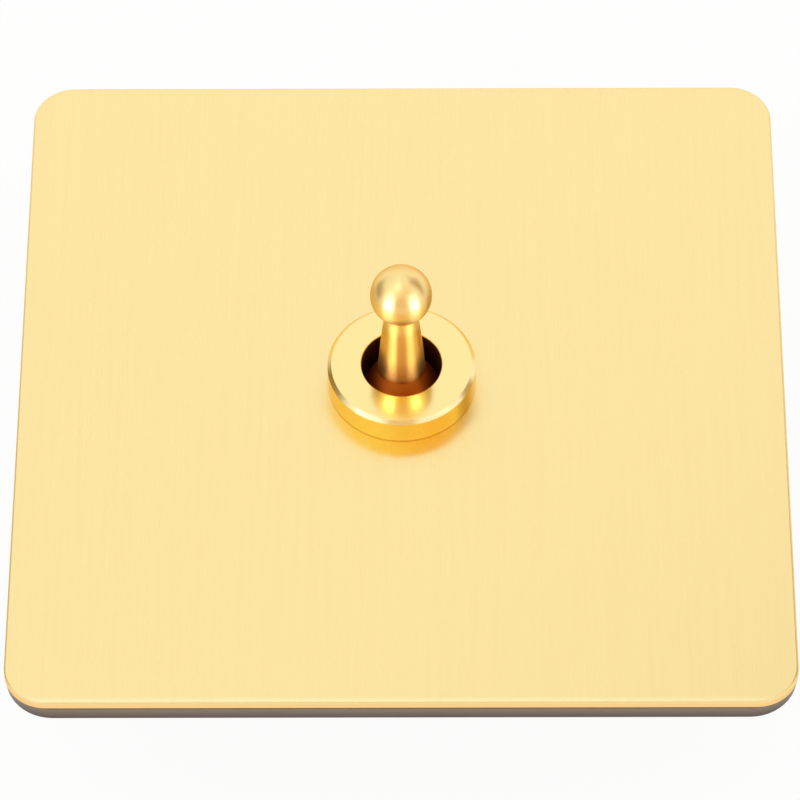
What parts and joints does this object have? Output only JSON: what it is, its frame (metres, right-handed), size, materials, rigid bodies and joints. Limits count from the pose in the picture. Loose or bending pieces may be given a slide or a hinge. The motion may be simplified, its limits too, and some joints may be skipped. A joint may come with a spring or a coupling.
{
  "type": "toggle light switch",
  "caption": "Square brushed gold wall plate on a grey frame, with a ball-ended toggle lever in a round collar and an insulated case behind that holds a see-saw contact and screw terminals.",
  "frame": {"origin": "centre of the plate on the wall plane, at the middle of the two wall fixing holes", "axes": "+Z out of the wall, +Y to the plate's top edge, +X to the right seen from the front"},
  "size_m": [0.086, 0.086, 0.0445],
  "materials": {
    "brushed_gold": "brushed, gold coated",
    "frame_plastic": "moulded, grey-brown",
    "polished_brass": "polished",
    "satin_brass": "fine turned",
    "plain_brass": "as machined",
    "blackened_brass": "blackened",
    "zinc_steel": "zinc plated",
    "spring_steel": "drawn wire",
    "fibre_sheet": "pressed fibre",
    "case_plastic": "moulded, black",
    "cover_plastic": "moulded, black",
    "plunger_plastic": "moulded, natural",
    "silver_tip": "silver alloy"
  },
  "bodies": {
    "switch_body": {"face_plate": "brushed_gold", "backing_frame": "frame_plastic", "collar_ring": "polished_brass", "threaded_bushing": "blackened_brass", "mounting_bracket": "zinc_steel", "insulating_sheet": "fibre_sheet", "switch_housing": "case_plastic", "rear_cover": "cover_plastic", "lever_pin": "zinc_steel", "rocker_pin": "zinc_steel", "common_terminal": "plain_brass", "upper_terminal": "plain_brass", "lower_terminal": "plain_brass", "fixed_contacts": "silver_tip", "terminal_screws": "zinc_steel", "cover_screws": "zinc_steel", "frame_screws": "zinc_steel", "earth_washer": "zinc_steel", "earth_screw": "plain_brass"},
    "lever": {"toggle_lever": "satin_brass", "plunger_spring": "spring_steel"},
    "plunger": {"plunger": "plunger_plastic"},
    "cradle": {"contact_cradle": "plain_brass", "moving_contacts": "silver_tip"}
  },
  "joints": [
    {"name": "toggle_tilt", "type": "hinge", "parent": "switch_body", "child": "lever", "pos_m": [0, 0, 0.0016], "axis": [1, 0, 0], "range_deg": [0, 22.6]},
    {"name": "plunger_press", "type": "slide", "parent": "lever", "child": "plunger", "axis": [0, 0.1959, 0.9806], "range_m": [0, 0.0012], "stiffness_N_per_m": 400, "deforming": ["plunger_spring"]},
    {"name": "contact_rock", "type": "hinge", "parent": "switch_body", "child": "cradle", "pos_m": [0, 0, -0.0116], "axis": [1, 0, 0], "range_deg": [-14, 0]}
  ],
  "couplings": [
    {"joint": "contact_rock", "follows": "toggle_tilt", "ratio": -0.61947}
  ]
}
